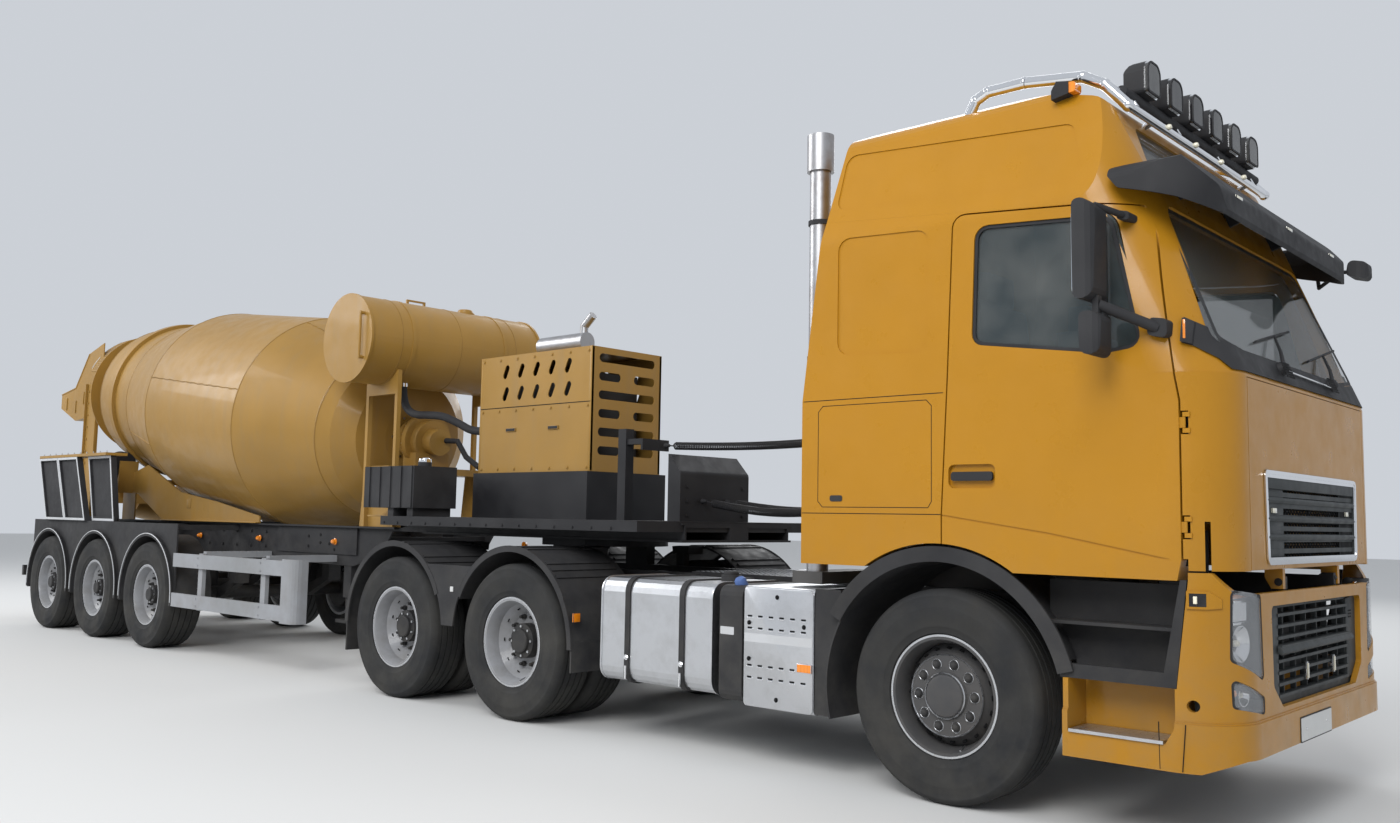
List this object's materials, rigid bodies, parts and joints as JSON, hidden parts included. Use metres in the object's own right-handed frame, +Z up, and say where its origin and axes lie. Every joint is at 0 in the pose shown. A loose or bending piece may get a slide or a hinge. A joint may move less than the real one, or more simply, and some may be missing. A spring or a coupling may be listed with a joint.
{
  "type": "articulated concrete mixer truck",
  "caption": "High-roof sleeper tractor hinged to a semi-trailer that carries a turning concrete drum with its own engine, water tank, hopper and swinging chute.",
  "frame": {"origin": "on the ground, in the middle of the length and the width of the coupled vehicle", "axes": "+X forward along the vehicle, +Y to its left, +Z up"},
  "size_m": [15.02, 3.056, 3.648],
  "materials": {
    "tyres_and_rims": "matte",
    "black_steel": "satin",
    "engines": "matte",
    "black_plastic": "satin",
    "yellow_paint": "gloss",
    "polished_tanks": "satin",
    "bright_tube": "polished",
    "aluminium_rails": "satin",
    "cab_trim": "matte",
    "glass": "gloss",
    "leads": "matte"
  },
  "bodies": {
    "tractor": {"tractor_frame": "black_steel", "powertrain": "engines", "front_axle": "black_steel", "drive_axles": "black_steel", "fifth_wheel": "black_steel", "drive_mudguards": "black_plastic", "front_arches": "black_plastic", "bumper": "yellow_paint", "lower_grille": "black_plastic", "fuel_tanks": "polished_tanks", "service_boxes": "polished_tanks", "lead_upper": "leads", "lead_lower": "leads"},
    "cab": {"cab_shell": "yellow_paint", "cab_roof": "yellow_paint", "cab_glass": "glass", "sun_visor": "black_plastic", "cab_interior": "cab_trim", "roof_bar": "bright_tube"},
    "front_flap": {"front_flap": "yellow_paint", "upper_grille": "bright_tube"},
    "door_right": {"door_right": "yellow_paint", "door_glass_right": "glass", "mirrors_right": "black_plastic"},
    "door_left": {"door_left": "yellow_paint", "door_glass_left": "glass", "mirrors_left": "black_plastic"},
    "knuckle_right": {"knuckle_right": "black_steel"},
    "knuckle_left": {"knuckle_left": "black_steel"},
    "trailer": {"trailer_neck": "black_steel", "trailer_frame": "black_steel", "trailer_axles": "black_steel", "trailer_mudguards": "black_plastic", "side_guards": "aluminium_rails", "engine_cover": "yellow_paint", "pump_engine": "engines", "water_tank": "yellow_paint", "drum_drive": "black_steel", "diesel_tank": "black_plastic", "drum_cradle": "yellow_paint", "mouth_ring": "yellow_paint", "hopper": "yellow_paint", "spare_chutes": "yellow_paint"},
    "drum": {"drum": "yellow_paint"},
    "roller_right": {"roller_right": "black_steel"},
    "roller_left": {"roller_left": "black_steel"},
    "chute_ring": {"chute_ring": "yellow_paint"},
    "chute": {"chute": "yellow_paint"},
    "wheel_front_right": {"wheel_front_right": "tyres_and_rims"},
    "wheel_front_left": {"wheel_front_left": "tyres_and_rims"},
    "wheel_drive_1_right": {"wheel_drive_1_right": "tyres_and_rims"},
    "wheel_drive_1_left": {"wheel_drive_1_left": "tyres_and_rims"},
    "wheel_drive_2_right": {"wheel_drive_2_right": "tyres_and_rims"},
    "wheel_drive_2_left": {"wheel_drive_2_left": "tyres_and_rims"},
    "wheel_trail_1_right": {"wheel_trail_1_right": "tyres_and_rims"},
    "wheel_trail_1_left": {"wheel_trail_1_left": "tyres_and_rims"},
    "wheel_trail_2_right": {"wheel_trail_2_right": "tyres_and_rims"},
    "wheel_trail_2_left": {"wheel_trail_2_left": "tyres_and_rims"},
    "wheel_trail_3_right": {"wheel_trail_3_right": "tyres_and_rims"},
    "wheel_trail_3_left": {"wheel_trail_3_left": "tyres_and_rims"}
  },
  "joints": [
    {"name": "cab_tilt", "type": "hinge", "parent": "tractor", "child": "cab", "pos_m": [7.45, 0, 1.13], "axis": [0, 1, 0], "range_deg": [0, 60]},
    {"name": "front_flap_lift", "type": "hinge", "parent": "cab", "child": "front_flap", "pos_m": [7.48, 0, 2.033], "axis": [0, -1, 0], "range_deg": [0, 70]},
    {"name": "door_right_swing", "type": "hinge", "parent": "cab", "child": "door_right", "pos_m": [7.304, -1.217, 1.8], "axis": [0, 0, 1], "range_deg": [0, 75]},
    {"name": "door_left_swing", "type": "hinge", "parent": "cab", "child": "door_left", "pos_m": [7.304, 1.217, 1.8], "axis": [0, 0, -1], "range_deg": [0, 75]},
    {"name": "steering", "type": "hinge", "parent": "tractor", "child": "knuckle_right", "pos_m": [6.09, -0.88, 0.525], "axis": [0, 0, 1], "range_deg": [-38, 38]},
    {"name": "steering_left", "type": "hinge", "parent": "tractor", "child": "knuckle_left", "pos_m": [6.09, 0.88, 0.525], "axis": [0, 0, 1], "range_deg": [-38, 38]},
    {"name": "spin_front_right", "type": "hinge", "parent": "knuckle_right", "child": "wheel_front_right", "pos_m": [6.09, -1, 0.525], "axis": [0, 1, 0], "continuous": true},
    {"name": "spin_front_left", "type": "hinge", "parent": "knuckle_left", "child": "wheel_front_left", "pos_m": [6.09, 1, 0.525], "axis": [0, 1, 0], "continuous": true},
    {"name": "spin_drive_1_right", "type": "hinge", "parent": "tractor", "child": "wheel_drive_1_right", "pos_m": [2.79, -0.9, 0.525], "axis": [0, 1, 0], "continuous": true},
    {"name": "spin_drive_1_left", "type": "hinge", "parent": "tractor", "child": "wheel_drive_1_left", "pos_m": [2.79, 0.9, 0.525], "axis": [0, 1, 0], "continuous": true},
    {"name": "spin_drive_2_right", "type": "hinge", "parent": "tractor", "child": "wheel_drive_2_right", "pos_m": [1.4, -0.9, 0.525], "axis": [0, 1, 0], "continuous": true},
    {"name": "spin_drive_2_left", "type": "hinge", "parent": "tractor", "child": "wheel_drive_2_left", "pos_m": [1.4, 0.9, 0.525], "axis": [0, 1, 0], "continuous": true},
    {"name": "articulation", "type": "hinge", "parent": "tractor", "child": "trailer", "pos_m": [2.39, 0, 1.215], "axis": [0, 0, 1], "range_deg": [-90, 90], "deforming": ["lead_upper", "lead_lower"]},
    {"name": "spin_trail_1_right", "type": "hinge", "parent": "trailer", "child": "wheel_trail_1_right", "pos_m": [-2.99, -1, 0.525], "axis": [0, 1, 0], "continuous": true},
    {"name": "spin_trail_1_left", "type": "hinge", "parent": "trailer", "child": "wheel_trail_1_left", "pos_m": [-2.99, 1, 0.525], "axis": [0, 1, 0], "continuous": true},
    {"name": "spin_trail_2_right", "type": "hinge", "parent": "trailer", "child": "wheel_trail_2_right", "pos_m": [-4.325, -1, 0.525], "axis": [0, 1, 0], "continuous": true},
    {"name": "spin_trail_2_left", "type": "hinge", "parent": "trailer", "child": "wheel_trail_2_left", "pos_m": [-4.325, 1, 0.525], "axis": [0, 1, 0], "continuous": true},
    {"name": "spin_trail_3_right", "type": "hinge", "parent": "trailer", "child": "wheel_trail_3_right", "pos_m": [-5.66, -1, 0.525], "axis": [0, 1, 0], "continuous": true},
    {"name": "spin_trail_3_left", "type": "hinge", "parent": "trailer", "child": "wheel_trail_3_left", "pos_m": [-5.66, 1, 0.525], "axis": [0, 1, 0], "continuous": true},
    {"name": "drum_turn", "type": "hinge", "parent": "trailer", "child": "drum", "pos_m": [-0.652, 0, 2.133], "axis": [-0.9919, 0, 0.1271], "continuous": true},
    {"name": "roller_right_turn", "type": "hinge", "parent": "trailer", "child": "roller_right", "pos_m": [-5.1174, -0.71617, 1.90314], "axis": [-0.9919, 0, 0.1271], "continuous": true},
    {"name": "roller_left_turn", "type": "hinge", "parent": "trailer", "child": "roller_left", "pos_m": [-5.1174, 0.71617, 1.90314], "axis": [-0.9919, 0, 0.1271], "continuous": true},
    {"name": "chute_swing", "type": "hinge", "parent": "trailer", "child": "chute_ring", "pos_m": [-6.91, 0, 1.6], "axis": [0, 0, 1], "range_deg": [0, 180]},
    {"name": "chute_tilt", "type": "hinge", "parent": "chute_ring", "child": "chute", "pos_m": [-6.91, 0.19, 1.56], "axis": [-1, 0, 0], "range_deg": [0, 35]}
  ],
  "couplings": [
    {"joint": "steering_left", "follows": "steering", "ratio": 1},
    {"joint": "roller_right_turn", "follows": "drum_turn", "ratio": -6.6429},
    {"joint": "roller_left_turn", "follows": "drum_turn", "ratio": -6.6429}
  ]
}
